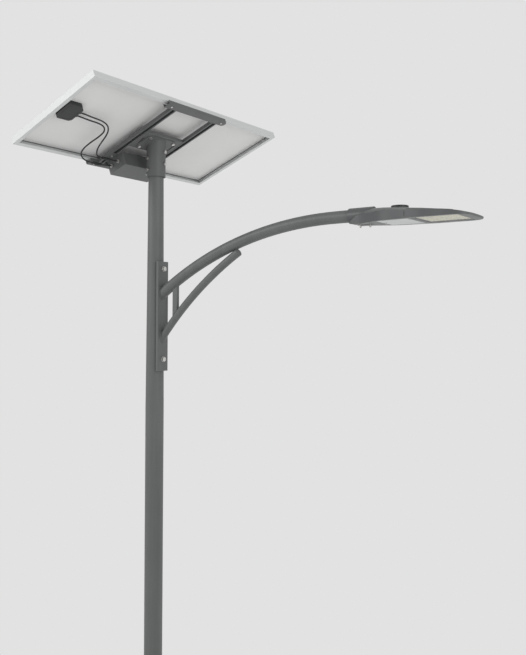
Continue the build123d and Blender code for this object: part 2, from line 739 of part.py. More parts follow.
def build_box():
    top = box_top()
    low = top - BOX_DROP
    shell = block(BOX_S0, BOX_S1, BOX_Y0, BOX_Y1, low, top)
    shell = fillet(shell.edges().filter_by(Axis.Z), BOX_CORNER_R)
    shell = fillet(shell.edges().group_by(Axis.Z)[0], BOX_WALL)
    wall = BOX_WALL
    shell -= block(BOX_S0 + wall, BOX_S1 - wall, BOX_Y0 + wall, BOX_Y1 - wall, low + wall, top + 1)
    lug = BOX_LUG_S
    lug_y = BOX_LUG_Y
    inner_s = (BOX_S0 + wall, BOX_S1 - wall - lug)
    inner_y = (BOX_Y0 + wall, BOX_Y1 - wall - lug_y)
    lid = block(BOX_S0, BOX_S1, BOX_Y0, BOX_Y1, top, top + BOX_LID_THICK)
    lid = fillet(lid.edges().filter_by(Axis.Z), BOX_CORNER_R)
    ear_low = BOX_EAR_S - BOX_EAR_WIDTH / 2
    ear_high = BOX_EAR_S + BOX_EAR_WIDTH / 2
    reach = RAIL_Y + RAIL_WIDTH / 2
    ears = block(ear_low, ear_high, -reach, reach, top, top + BOX_LID_THICK)
    lid += fillet(ears.edges().filter_by(Axis.Z), 8)
    screws = []
    for s in inner_s:
        for y in inner_y:
            at = Pos(s + lug / 2, y + lug_y / 2, top)
            shell += block(s, s + lug, y, y + lug_y, top - BOX_LUG_DEEP, top)
            shell -= at * Cylinder(LID_SCREW_D / 2, 4 * BOX_LUG_DEEP)
            lid -= at * Cylinder(LID_SCREW_D / 2 + HOLE_EASE, 4 * BOX_LUG_DEEP)
            seat = at * Pos(0, 0, BOX_LID_THICK)
            screws.append(HEAD * seat * pan_screw(LID_SCREW_D, BOX_LUG_DEEP + 1, 2 * LID_SCREW_D, 2.5))
    ear_screws = []
    ear_nuts = []
    for y in (-RAIL_Y, RAIL_Y):
        lid -= Pos(BOX_EAR_S, y, top) * Cylinder(4.3, 40)
        ear_screws.append(carrier_bolt(BOX_EAR_S, y, top, 8, BOX_LID_THICK + RAIL_WALL + 9, 13, 5.3))
        seat = -RAIL_DEPTH + RAIL_WALL
        half = RAIL_WIDTH / 2 - RAIL_WALL - 0.5
        nut_plate = block(-12, 12, -half, half, 0, 6) - Cylinder(4, 40)
        ear_nuts.append(HEAD * Pos(BOX_EAR_S, y, seat) * nut_plate)
    depth = -GLAND_DEPTH
    for s in GLAND_S:
        shell -= Pos(s, BOX_Y0, depth) * Rot(90, 0, 0) * Cylinder(GLAND_HOLE_D / 2, 30)
    save("battery_box", HEAD * shell)
    save("battery_box_lid", HEAD * lid)
    save("box_lid_screws", *screws)
    save("box_mount_screws", *ear_screws)
    save("box_channel_nuts", *ear_nuts)

    floor = low + wall
    pack = block(BOX_S0 + 12, BOX_S1 - 12, -45, BOX_Y1 - 22, floor, floor + 52)
    pack = fillet(pack.edges(), 3)
    pack += block(BOX_S0 + 30, BOX_S1 - 30, -20, BOX_Y1 - 50, floor + 52, floor + 55)
    save("battery_pack", HEAD * pack)
    body = block(BOX_S0 + 18, BOX_S1 - 18, -118, -56, floor, floor + 16)
    body = chamfer(body.edges().group_by(Axis.Z)[-1], 2)
    fin_step = 9.0
    for fin in range(10):
        s = BOX_S0 + 24 + fin * fin_step
        body += block(s, s + 2, -116, -58, floor + 16, floor + 24)
    save("charge_controller", HEAD * body)

    rings = []
    for s in GLAND_S:
        face = Plane(origin=(s, BOX_Y0, depth), z_dir=(0, -1, 0))
        through = Cylinder(GLAND_HOLE_D / 2, BOX_WALL + 6, align=(Align.CENTER, Align.CENTER, Align.MAX))
        bore = Cylinder(LEAD_D / 2 - 0.5, 60)
        neck = Pos(0, 0, GLAND_OUT) * Cylinder(LEAD_D, 2, align=(Align.CENTER, Align.CENTER, Align.MIN))
        rings.append(HEAD * face * (hexagon(GLAND_RING_AF, GLAND_OUT) + neck + through - bore))
    save("box_gland_rings", *rings)


# ================================================================ junction box and leads
def jb_outline(inset):
    """The junction box seen from below, three of its corners cut off."""
    half_s = JB_LENGTH / 2 - inset
    half_y = JB_WIDTH / 2 - inset
    small = JB_CUT / 2
    return Polygon(
        (-half_s + JB_CUT, -half_y),
        (half_s, -half_y),
        (half_s, half_y - JB_CUT),
        (half_s - JB_CUT, half_y),
        (-half_s + small, half_y),
        (-half_s, half_y - small),
        (-half_s, -half_y + JB_CUT),
        align=None,
    )


def build_junction_box():
    top = panel_levels()[3]
    low = top - JB_DEPTH
    at = Pos(JB_S, JB_Y, low)
    base = Pos(0, 0, JB_LID_THICK) * extrude(jb_outline(0), JB_DEPTH - JB_LID_THICK)
    roof = JB_DEPTH - 1.5
    base -= extrude(jb_outline(JB_WALL), roof)
    half_y = JB_WIDTH / 2
    thread_r = JB_GLAND_AF / 2 - 1.5
    glands = []
    for entry in (LEAD_A[0], LEAD_B[0]):
        s, z = entry[0], entry[2]
        base -= Pos(s - JB_S, half_y, z - low) * Rot(90, 0, 0) * Cylinder(thread_r, 20)
        face = Plane(origin=(s, JB_Y + half_y, z), z_dir=(0, 1, 0))
        thread = Cylinder(thread_r, JB_WALL + 3, align=(Align.CENTER, Align.CENTER, Align.MAX))
        glands.append(HEAD * face * (hexagon(JB_GLAND_AF, JB_GLAND_OUT) + thread))
    lid = extrude(jb_outline(0), JB_LID_THICK)
    lid = fillet(lid.edges().group_by(Axis.Z)[0], 2)
    # a shallow groove runs round the lid's face
    lid = lid - extrude(jb_outline(14), 0.8) + extrude(jb_outline(16), 0.8)
    save("junction_box_base", HEAD * at * base)
    save("junction_box_lid", HEAD * at * lid)
    save("junction_box_glands", *glands)
    diodes = []
    for s in (-JB_LENGTH / 6, JB_LENGTH / 6):
        diodes.append(HEAD * at * block(s - 9, s + 9, -22, 2, roof - 5, roof))
    save("bypass_diodes", *diodes)


def cord_radii(points):
    """The bend radius at each inner point, from the shorter of its two runs."""
    radii = []
    for before, here, after in zip(points, points[1:], points[2:]):
        one = Vector(*here) - Vector(*before)
        two = Vector(*after) - Vector(*here)
        turn = radians(one.get_angle(two))
        radii.append(0.45 * min(one.length, two.length) / tan(turn / 2))
    return radii


def cord(name, points):
    """A round cord along a line of straight runs joined by tangent arcs."""
    radii = cord_radii(points)
    with BuildLine() as line:
        FilletPolyline(*points, radius=radii)
    path = line.wire()
    start = Plane(origin=points[0], z_dir=Vector(*points[1]) - Vector(*points[0]))
    body = sweep(start * Circle(LEAD_D / 2), path=path)
    section = LEAD_D * LEAD_D * 0.7853981634
    ratio = body.volume / section / path.length
    print(name, "length", round(path.length, 1), "volume ratio", round(ratio, 4))
    print(name, "radii", [round(radius, 1) for radius in radii])
    save(name, HEAD * body)


def connector_pair(tail, head):
    """A mated plug and socket between two lead ends on one line along Y."""
    length = head[1] - tail[1]
    axis = Plane(origin=tail, z_dir=(0, 1, 0))
    middle = length / 2
    cap = 18.0
    up = (Align.CENTER, Align.CENTER, Align.MIN)
    tail_stub = Cylinder(CONNECTOR_D * 0.36, 6, align=up)
    nut_hex = hexagon(CONNECTOR_D * 0.88, cap - 6)
    spigot = Pos(0, 0, middle) * Cylinder(CONNECTOR_D * 0.3, 10, align=up)
    plug = tail_stub + Pos(0, 0, 6) * nut_hex
    plug += Pos(0, 0, cap) * Cylinder(CONNECTOR_D / 2, middle - cap, align=up)
    plug += spigot
    socket = Pos(0, 0, middle) * Cylinder(CONNECTOR_D * 0.45, middle - cap, align=up)
    socket += Pos(0, 0, length - cap) * nut_hex
    socket += Pos(0, 0, length - 6) * tail_stub
    for side in (-1, 1):
        arm = Box(CONNECTOR_D * 0.15, 5, 14, align=up)
        socket += Pos(side * CONNECTOR_D * 0.475, 0, middle) * arm
    socket -= spigot
    return HEAD * axis * plug, HEAD * axis * socket


def build_leads():
    cord("panel_lead_a", LEAD_A)
    cord("panel_lead_b", LEAD_B)
    cord("box_lead_a", PIGTAIL_A)
    cord("box_lead_b", PIGTAIL_B)
    pairs = [connector_pair(LEAD_A[-1], PIGTAIL_A[0]), connector_pair(LEAD_B[-1], PIGTAIL_B[0])]
    save("connector_plugs", *[plug for plug, socket in pairs])
    save("connector_sockets", *[socket for plug, socket in pairs])


# ================================================================ lantern
def lamp_section(x, half, shoulder, crown, inset):
    """One cross-section of the shell: flat floor, upright sides, arched roof."""
    half -= inset
    shoulder -= inset
    crown -= inset
    floor = LAMP_FLOOR + inset
    plane = Plane(origin=(x, 0, ARM_AXIS_Z), x_dir=(0, 1, 0), z_dir=(1, 0, 0))
    arch = crown - shoulder
    with BuildSketch(plane) as sketch:
        with BuildLine():
            Line((-half, shoulder), (-half + 2, floor))
            Line((-half + 2, floor), (half - 2, floor))
            Line((half - 2, floor), (half, shoulder))
            Spline(
                (half, shoulder),
                (half * 0.72, shoulder + arch * 0.62),
                (0, crown),
                (-half * 0.72, shoulder + arch * 0.62),
                (-half, shoulder),
            )
        make_face()
    return sketch.sketch


def lamp_body(inset):
    sections = []
    for x, half, shoulder, crown in LAMP_STATIONS:
        sections.append(lamp_section(x, half, shoulder, crown, inset))
    return loft(sections)


def lamp_block(x0, x1, y0, y1, z0, z1):
    """A box given by x, y and heights above the arm axis."""
    return block(x0, x1, y0, y1, ARM_AXIS_Z + z0, ARM_AXIS_Z + z1)


def window_frame(inset):
    """The optic window's four sides, moved inwards: x0, x1, y0, y1."""
    half = WINDOW_HALF_WIDTH - inset
    return WINDOW_X0 + inset, WINDOW_X1 - inset, -half, half


def ledge_low():
    """Height of the ledge that the optic glass is bonded to."""
    return LAMP_FLOOR + LAMP_GLASS + LAMP_GASKET


def board_low():
    """Height of the LED board's underside."""
    return LAMP_FLOOR + LAMP_GLASS + LED_GAP + LED_HEIGHT


def cover_outline(grow):
    return Polygon(
        (COVER_X0 - grow, -COVER_HALF_REAR - grow),
        (COVER_X1 + grow, -COVER_HALF_FRONT - grow),
        (COVER_X1 + grow, COVER_HALF_FRONT + grow),
        (COVER_X0 - grow, COVER_HALF_REAR + grow),
        align=None,
    )


def lamp_post(x, y, low, diameter):
    """A post hanging from the roof down to a height above the arm axis."""
    return Pos(x, y, ARM_AXIS_Z + low) * Cylinder(
        diameter / 2, 100, align=(Align.CENTER, Align.CENTER, Align.MIN)
    )


def build_housing():
    outer = lamp_body(0)
    cavity = lamp_body(LAMP_SHELL) & lamp_block(CAVITY_X0, CAVITY_X1, -200, 200, -60, 60)
    shell = outer - cavity
    extras = lamp_block(BAY_WALL_X - 1.5, BAY_WALL_X + 1.5, -150, 150, -44, 60)
    in_x, in_y = BOARD_POST_INSET
    for x in (WINDOW_X0 + in_x, WINDOW_X1 - in_x):
        for y in (in_y - WINDOW_HALF_WIDTH, WINDOW_HALF_WIDTH - in_y):
            extras += lamp_post(x, y, board_low() + LED_BOARD, BOARD_POST_D)
    extras += lamp_block(*window_frame(-LEDGE_WIDTH), LAMP_FLOOR + 1, ledge_low() + LEDGE_THICK)
    for x in GEAR_POST_X:
        extras += lamp_post(x, DRIVER_Y, GEAR_TOP, 10)
    extras += lamp_post(PHOTOCELL_X, TERMINAL_Y, GEAR_TOP, 10)
    for side in (-1, 1):
        inner = side * TILT_EYE_WIDTH / 2
        far = side * (TILT_EYE_WIDTH / 2 + TILT_LUG)
        x0 = TILT_PIVOT_X - TILT_LUG_REACH
        x1 = TILT_PIVOT_X + TILT_LUG_REACH
        extras += lamp_block(x0, x1, min(inner, far), max(inner, far), -TILT_LUG_REACH, 60)
    for side in (-1, 1):
        y0 = side * HINGE_Y
        lug = lamp_block(HINGE_X - 5, BAY_WALL_X, y0 - 4, y0 + 4, LAMP_FLOOR + HINGE_RISE - 4, -30)
        extras += lug
    shell += extras & outer
    seat = Pos(PHOTOCELL_X, 0, ARM_AXIS_Z) * Cylinder(
        PHOTOCELL_D / 2 + 3, PHOTOCELL_SEAT, align=(Align.CENTER, Align.CENTER, Align.MIN)
    )
    seat = chamfer(seat.edges().group_by(Axis.Z)[-1], 2)
    shell += seat - cavity
    shell -= Pos(PHOTOCELL_X, 0, ARM_AXIS_Z + PHOTOCELL_SEAT) * Cylinder(
        PHOTOCELL_D / 2 + 2, 60, align=(Align.CENTER, Align.CENTER, Align.MIN)
    )
    floor = ARM_AXIS_Z + LAMP_FLOOR
    opening = extrude(cover_outline(COVER_GAP), 3 * LAMP_SHELL, both=True)
    slot = lamp_block(COVER_X1, COVER_X1 + HINGE_GAP, -COVER_HALF_FRONT, COVER_HALF_FRONT, -55, -41)
    shell -= Pos(0, 0, floor) * (opening & block(0, 3000, -300, 300, -5, LAMP_SHELL)) + slot
    shell -= lamp_block(*window_frame(0), 2 * LAMP_FLOOR, ledge_low())
    shell -= lamp_block(*window_frame(GLASS_LAP), 2 * LAMP_FLOOR, ledge_low() + LEDGE_THICK + 0.5)
    bore = COLLAR_D / 2 + COLLAR_GAP
    shell -= rod(2 * bore, (ARM_LEVEL_X, 0, ARM_AXIS_Z), (COLLAR_SPACE_X, 0, ARM_AXIS_Z))
    # the arm's tongue reaches the tilt bolt through a passage in the shell's rear wall
    eye = TILT_EYE_WIDTH / 2
    shell -= lamp_block(COLLAR_END_X, CAVITY_X0 + 1, -eye, eye, -TILT_PASSAGE, TILT_PASSAGE)
    top, middle, bottom = SCOOP_RIM
    rear = COLLAR_START_X - 100
    with BuildSketch(Plane.XZ) as cut_face:
        with BuildLine():
            ThreePointArc(top, middle, bottom)
            Polyline(bottom, (bottom[0], -60), (rear, -60), (rear, 200), (top[0], 200), top)
        make_face()
    scoop = extrude(cut_face.sketch, 200, both=True)
    cradle = Polygon((rear, -60), (1264, -24), (1312, -46), (1312, -90), (rear, -90), align=None)
    cradle = extrude(Plane.XZ * cradle, 200, both=True)
    shell -= Pos(0, 0, ARM_AXIS_Z) * (scoop + cradle)
    shell -= lamp_block(1290, COLLAR_END_X, -8, 8, -60, -20)
    pivot = TILT_PIVOT_D / 2
    across = TILT_EYE_WIDTH / 2 + TILT_LUG + 5
    shell -= rod(2 * pivot, (TILT_PIVOT_X, -across, ARM_AXIS_Z), (TILT_PIVOT_X, across, ARM_AXIS_Z))
    hinge_z = floor + HINGE_RISE
    shell -= rod(HINGE_PIN_D, (HINGE_X, -HINGE_Y - 5, hinge_z), (HINGE_X, HINGE_Y + 5, hinge_z))
    solids = shell.solids().sort_by(SortBy.VOLUME)
    save("lantern_housing", solids[-1])


def build_lamp_fixings():
    """The spigot collar on the arm, its screws and the tilt bolt."""
    axis_z = ARM_AXIS_Z
    collar = rod(COLLAR_D, (COLLAR_START_X, 0, axis_z), (COLLAR_END_X, 0, axis_z))
    collar = chamfer(collar.edges().group_by(Axis.X)[0], 3)
    eye = TILT_EYE_WIDTH / 2 - 0.5
    tongue = lamp_block(COLLAR_END_X, TILT_PIVOT_X, -eye, eye, -13, 13)
    tongue += rod(26, (TILT_PIVOT_X, -eye, axis_z), (TILT_PIVOT_X, eye, axis_z))
    bore_end = ARM_END_X
    collar -= rod(ARM_D, (1000, 0, axis_z), (bore_end, 0, axis_z))
    collar += tongue
    screws = []
    for x in COLLAR_SCREW_X:
        collar -= rod(COLLAR_SCREW_D, (x, 0, axis_z - 60), (x, 0, axis_z - 20))
        tip = axis_z - COLLAR_SCREW_DROP
        body = rod(COLLAR_SCREW_D, (x, 0, tip), (x, 0, axis_z - ARM_D / 2))
        body = chamfer(body.edges().group_by(Axis.Z)[0], 2)
        socket = Pos(x, 0, tip - 1) * extrude(RegularPolygon(2.5, 6), 6)
        screws.append(body - socket)
    reach = TILT_EYE_WIDTH / 2 + TILT_LUG
    bolt_bore = TILT_PIVOT_D + 2 * TILT_FIT
    collar -= rod(bolt_bore, (TILT_PIVOT_X, -40, axis_z), (TILT_PIVOT_X, 40, axis_z))
    save("spigot_collar", collar)
    save("collar_set_screws", *screws)

    side = Plane(origin=(TILT_PIVOT_X, -reach, axis_z), z_dir=(0, -1, 0))
    save("tilt_bolt", side * screw(TILT_PIVOT_D, 2 * reach, 17, 6.4))


def build_optics():
    """The bonded glass, its gasket, and the board with its grid of LEDs."""
    ledge = ledge_low()
    gasket = lamp_block(*window_frame(GLASS_FIT), ledge - LAMP_GASKET, ledge)
    gasket -= lamp_block(*window_frame(GLASS_LAP), ledge - 5, ledge + 5)
    save("optic_gasket", gasket)
    glass = lamp_block(*window_frame(GLASS_FIT), LAMP_FLOOR, LAMP_FLOOR + LAMP_GLASS)
    save("optic_glass", chamfer(glass.edges().filter_by(Axis.Z), 1))

    low = board_low()
    x0, x1, y0, y1 = window_frame(GLASS_LAP + BOARD_EDGE)
    save("led_board", lamp_block(x0, x1, y0, y1, low, low + LED_BOARD))
    pitch_x = (x1 - x0 - LED_SIDE) / LED_COLUMNS
    pitch_y = (y1 - y0 - LED_SIDE) / LED_ROWS
    half = LED_SIDE / 2
    chips = []
    for column in range(LED_COLUMNS):
        for row in range(LED_ROWS):
            x = (x0 + x1) / 2 + (column - (LED_COLUMNS - 1) / 2) * pitch_x
            y = (row - (LED_ROWS - 1) / 2) * pitch_y
            chips.append(lamp_block(x - half, x + half, y - half, y + half, low - LED_HEIGHT, low))
    save("led_chips", *chips)


def build_gear():
    margin = 14.0
    x0 = GEAR_POST_X[0] - margin
    x1 = GEAR_POST_X[1] + margin
    driver = lamp_block(x0, x1, DRIVER_Y - 32, DRIVER_Y + 32, GEAR_TOP - 27, GEAR_TOP)
    driver = fillet(driver.edges().group_by(Axis.Z)[0], 3)
    save("led_driver", driver)
    x0 = PHOTOCELL_X - 30
    terminal = lamp_block(x0, x0 + 60, TERMINAL_Y - 10, TERMINAL_Y + 10, GEAR_TOP - 16, GEAR_TOP)
    for pole in range(5):
        terminal -= Pos(x0 + 6 + pole * 12, TERMINAL_Y, ARM_AXIS_Z + GEAR_TOP - 16) * Cylinder(3, 8)
    save("terminal_block", terminal)


def build_cover():
    floor = ARM_AXIS_Z + LAMP_FLOOR
    plate = Pos(0, 0, floor) * extrude(cover_outline(0), COVER_THICK)
    rim = extrude(cover_outline(-8), 3) - extrude(cover_outline(-10), 3)
    # the rim stops short of the circle that the latch's tongue sweeps
    rim -= Pos(LATCH_X, 0, 0) * Cylinder(LATCH_REACH + COVER_GAP, 20)
    plate += Pos(0, 0, floor + COVER_THICK) * rim
    hinge_z = floor + HINGE_RISE
    knuckles = []
    bore = HINGE_PIN_D + 2 * TILT_FIT
    for side in (-1, 1):
        y0 = side * HINGE_Y
        y_in = y0 - 5
        y_out = y0 + 5
        plate -= block(HINGE_X - 8, HINGE_X + 30, y_in, y_out, floor - 1, floor + 12)
        for low, high in ((y_in - 6, y_in), (y_out, y_out + 6)):
            knuckle = rod(2 * HINGE_RISE - 1, (HINGE_X, low, hinge_z), (HINGE_X, high, hinge_z))
            knuckle += block(HINGE_X - 12, HINGE_X, low, high, floor + COVER_THICK, hinge_z + 2)
            plate += knuckle
        plate -= rod(bore, (HINGE_X, y0 - 20, hinge_z), (HINGE_X, y0 + 20, hinge_z))
        knuckles.append(rod(HINGE_PIN_D, (HINGE_X, y0 - 11, hinge_z), (HINGE_X, y0 + 11, hinge_z)))
    plate -= Pos(LATCH_X, 0, floor) * Cylinder(LATCH_STEM_D / 2 + TILT_FIT, 30)
    save("gear_cover", plate)
    save("cover_hinge_pins", *knuckles)

    # Released, the tongue lies along Y. A quarter turn takes it over the housing's ledge.
    up = (Align.CENTER, Align.CENTER, Align.MIN)
    knob = Pos(0, 0, -LATCH_KNOB_HEIGHT) * Cylinder(LATCH_KNOB_D / 2, LATCH_KNOB_HEIGHT, align=up)
    knob = fillet(knob.edges().group_by(Axis.Z)[0], 1)
    knob -= Pos(0, 0, -LATCH_KNOB_HEIGHT) * Box(12, 2, 3)
    tongue_low = LAMP_SHELL + LATCH_GAP
    knob += Cylinder(LATCH_STEM_D / 2, tongue_low, align=up)
    half = LATCH_WIDTH / 2
    knob += block(-half, half, -LATCH_TAIL, LATCH_REACH, tongue_low, tongue_low + LATCH_TONGUE)
    save("cover_latch", Pos(LATCH_X, 0, floor) * knob)


def build_photocell():
    seat = ARM_AXIS_Z + PHOTOCELL_SEAT
    top = ARM_AXIS_Z + PHOTOCELL_TOP
    up = (Align.CENTER, Align.CENTER, Align.MIN)
    ring_d = PHOTOCELL_RING_D
    height = top - seat - 4
    socket = Cylinder(ring_d / 2, height, align=up)
    socket -= Pos(0, 0, height - 3) * Cylinder(ring_d / 2 - 8, 10, align=up)
    save("photocell_socket", Pos(PHOTOCELL_X, 0, seat) * socket)
    low = 0.4
    cap = Pos(0, 0, low) * Cylinder(PHOTOCELL_D / 2, top - seat - low, align=up)
    cap = fillet(cap.edges().group_by(Axis.Z)[-1], 2.5)
    cap -= Cylinder(ring_d / 2 + PHOTOCELL_FIT, height + 0.4, align=up)
    save("photocell_cap", Pos(PHOTOCELL_X, 0, seat) * cap)


build_pole()
build_bracket()
build_arm()
build_panel()
build_carrier()
build_sleeve()
build_box()
build_junction_box()
build_leads()
build_housing()
build_lamp_fixings()
build_optics()
build_gear()
build_cover()
build_photocell()
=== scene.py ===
import json
import math

import bmesh
import bpy
from mathutils import Matrix, Vector
from mathutils.bvhtree import BVHTree


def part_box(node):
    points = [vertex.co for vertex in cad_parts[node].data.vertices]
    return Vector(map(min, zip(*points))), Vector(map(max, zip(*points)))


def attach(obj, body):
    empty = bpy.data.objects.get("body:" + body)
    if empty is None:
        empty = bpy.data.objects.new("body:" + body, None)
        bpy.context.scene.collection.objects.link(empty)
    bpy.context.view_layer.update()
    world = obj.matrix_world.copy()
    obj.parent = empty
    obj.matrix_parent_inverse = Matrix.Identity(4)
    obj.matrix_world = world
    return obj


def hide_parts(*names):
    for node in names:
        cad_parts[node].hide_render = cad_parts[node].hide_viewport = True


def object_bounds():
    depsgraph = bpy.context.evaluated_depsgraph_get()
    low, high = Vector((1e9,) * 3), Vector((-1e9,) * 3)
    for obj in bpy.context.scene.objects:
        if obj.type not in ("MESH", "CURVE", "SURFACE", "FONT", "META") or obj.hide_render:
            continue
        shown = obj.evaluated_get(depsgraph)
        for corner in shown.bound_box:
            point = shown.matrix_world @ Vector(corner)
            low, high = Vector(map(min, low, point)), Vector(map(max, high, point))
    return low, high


# Looks of the solar street lamp. Metres, in the CAD model's own frame: Z up, origin on the
# pole's axis at the ground, X along the arm.

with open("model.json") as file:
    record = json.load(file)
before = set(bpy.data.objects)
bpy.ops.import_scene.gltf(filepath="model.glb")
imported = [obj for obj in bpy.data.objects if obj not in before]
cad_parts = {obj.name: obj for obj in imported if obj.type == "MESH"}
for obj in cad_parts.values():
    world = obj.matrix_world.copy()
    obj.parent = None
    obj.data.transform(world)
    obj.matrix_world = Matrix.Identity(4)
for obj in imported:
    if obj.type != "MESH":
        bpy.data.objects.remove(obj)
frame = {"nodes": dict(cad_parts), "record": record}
cad_low, cad_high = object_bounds()
NODES = frame["nodes"]


# ================================================================ places
PANEL_TILT = math.radians(21.0)
CARRIER_ORIGIN = Vector((0.0, 0.0, 4.700))
UP_SLOPE = Vector((math.cos(PANEL_TILT), 0.0, math.sin(PANEL_TILT)))
ALONG = Vector((0.0, 1.0, 0.0))
OUT_OF_GLASS = Vector((-math.sin(PANEL_TILT), 0.0, math.cos(PANEL_TILT)))


def carrier(s, y, z):
    """A point given up the panel's slope, along its long side and out of its glass."""
    return CARRIER_ORIGIN + UP_SLOPE * s + ALONG * y + OUT_OF_GLASS * z


# ================================================================ materials
def link(tree, a, b):
    tree.links.new(a, b)


def add(tree, kind, **values):
    """A shader node with its properties or input sockets set by name."""
    node = tree.nodes.new(kind)
    for name, value in values.items():
        socket = name.replace("_", " ")
        if hasattr(node, name):
            setattr(node, name, value)
        else:
            node.inputs[socket].default_value = value
    return node


def stretched_coordinates(tree, stretch):
    place = add(tree, "ShaderNodeTexCoord")
    scale = add(tree, "ShaderNodeMapping")
    scale.inputs["Scale"].default_value = stretch
    link(tree, place.outputs["Object"], scale.inputs["Vector"])
    return scale.outputs["Vector"]


STREAK_SCALE = 38.0
STREAK_STRETCH = (1, 1, 0.035)
CRYSTAL_SCALE = 160.0
COAT_ROUGHNESS = 0.12
GLOSS_SPREAD = 0.09
BUMP_STRENGTH = 0.35
EDGE_RUB = 0.7


def shaded(tree, paint, value, amount):
    """The paint darkened or lightened by up to the amount where the value is low or high."""
    factor = add(tree, "ShaderNodeMapRange")
    factor.inputs["From Min"].default_value = 0.25
    factor.inputs["From Max"].default_value = 0.75
    factor.inputs["To Min"].default_value = 1 - amount
    factor.inputs["To Max"].default_value = 1 + amount
    link(tree, value, factor.inputs["Value"])
    scale = add(tree, "ShaderNodeVectorMath", operation="SCALE")
    link(tree, paint, scale.inputs[0])
    link(tree, factor.outputs["Result"], scale.inputs["Scale"])
    return scale.outputs["Vector"]


def surface(name, colour, roughness, metallic=0.0, alpha=1.0, spread=0.08, blotch=7.0, grain=700.0,
            depth=0.00006, stretch=(1, 1, 1), coat=0.0, edge=0.0, edge_gain=1.6, ior=1.5, streak=0.0,
            spangle=0.0):
    """A finish with uneven colour, uneven gloss, fine grain, rain streaks and rubbed edges."""
    material = bpy.data.materials.new(name)
    material.use_nodes = True
    tree = material.node_tree
    shader = tree.nodes["Principled BSDF"]
    shader.inputs["Base Color"].default_value = (*colour, 1)
    shader.inputs["Roughness"].default_value = roughness
    shader.inputs["Metallic"].default_value = metallic
    shader.inputs["IOR"].default_value = ior
    shader.inputs["Alpha"].default_value = alpha
    shader.inputs["Coat Weight"].default_value = coat
    shader.inputs["Coat Roughness"].default_value = COAT_ROUGHNESS
    where = stretched_coordinates(tree, stretch)

    cloud = add(tree, "ShaderNodeTexNoise", Scale=blotch, Detail=5.0, Roughness=0.6)
    link(tree, where, cloud.inputs["Vector"])
    tint = add(tree, "ShaderNodeValToRGB")
    tint.color_ramp.elements[0].position = 0.3
    tint.color_ramp.elements[1].position = 0.7
    tint.color_ramp.elements[0].color = [c * (1 - spread) for c in colour] + [1]
    tint.color_ramp.elements[1].color = [min(1.0, c * (1 + spread)) for c in colour] + [1]
    link(tree, cloud.outputs["Fac"], tint.inputs["Fac"])
    paint = tint.outputs["Color"]
    if streak:
        # rain carries dust down in long faint runs
        runs = add(tree, "ShaderNodeTexNoise", Scale=STREAK_SCALE, Detail=4.0, Roughness=0.65)
        link(tree, stretched_coordinates(tree, STREAK_STRETCH), runs.inputs["Vector"])
        paint = shaded(tree, paint, runs.outputs["Fac"], streak)
    if spangle:
        # zinc sets in crystals, each a little lighter or darker than the next
        crystal = add(tree, "ShaderNodeTexVoronoi", Scale=CRYSTAL_SCALE)
        link(tree, where, crystal.inputs["Vector"])
        grey = add(tree, "ShaderNodeRGBToBW")
        link(tree, crystal.outputs["Color"], grey.inputs["Color"])
        paint = shaded(tree, paint, grey.outputs["Val"], spangle)

    speck = add(tree, "ShaderNodeTexNoise", Scale=grain, Detail=3.0, Roughness=0.55)
    link(tree, where, speck.inputs["Vector"])
    gloss = add(tree, "ShaderNodeMapRange")
    gloss.inputs["To Min"].default_value = max(0.02, roughness - GLOSS_SPREAD)
    gloss.inputs["To Max"].default_value = min(1.0, roughness + GLOSS_SPREAD)
    link(tree, speck.outputs["Fac"], gloss.inputs["Value"])
    link(tree, gloss.outputs["Result"], shader.inputs["Roughness"])
    bump = add(tree, "ShaderNodeBump", Strength=BUMP_STRENGTH, Distance=depth)
    link(tree, speck.outputs["Fac"], bump.inputs["Height"])
    link(tree, bump.outputs["Normal"], shader.inputs["Normal"])

    if edge:
        # where the surface turns within the edge radius, the finish is rubbed lighter
        rounded = add(tree, "ShaderNodeBevel", samples=4, Radius=edge)
        flat = add(tree, "ShaderNodeNewGeometry")
        turn = add(tree, "ShaderNodeVectorMath", operation="DOT_PRODUCT")
        link(tree, rounded.outputs["Normal"], turn.inputs[0])
        link(tree, flat.outputs["Normal"], turn.inputs[1])
        worn = add(tree, "ShaderNodeMapRange")
        worn.inputs["From Min"].default_value = 0.99
        worn.inputs["From Max"].default_value = 0.85
        worn.inputs["To Max"].default_value = EDGE_RUB
        link(tree, turn.outputs["Value"], worn.inputs["Value"])
        rub = add(tree, "ShaderNodeMix", data_type="RGBA")
        link(tree, worn.outputs["Result"], rub.inputs["Factor"])
        rub_out = [socket for socket in rub.outputs if socket.type == "RGBA"][0]
        rub_a = [socket for socket in rub.inputs if socket.name == "A" and socket.type == "RGBA"][0]
        rub_b = [socket for socket in rub.inputs if socket.name == "B" and socket.type == "RGBA"][0]
        rub_b.default_value = [min(1.0, c * edge_gain) for c in colour] + [1]
        link(tree, paint, rub_a)
        link(tree, rounded.outputs["Normal"], bump.inputs["Normal"])
        paint = rub_out
    link(tree, paint, shader.inputs["Base Color"])
    return material


BUSBAR_PITCH = 0.0312
BUSBAR_WIDTH = 0.0014
FINGER_PITCH = 0.0024
FINGER_WIDTH = 0.00012


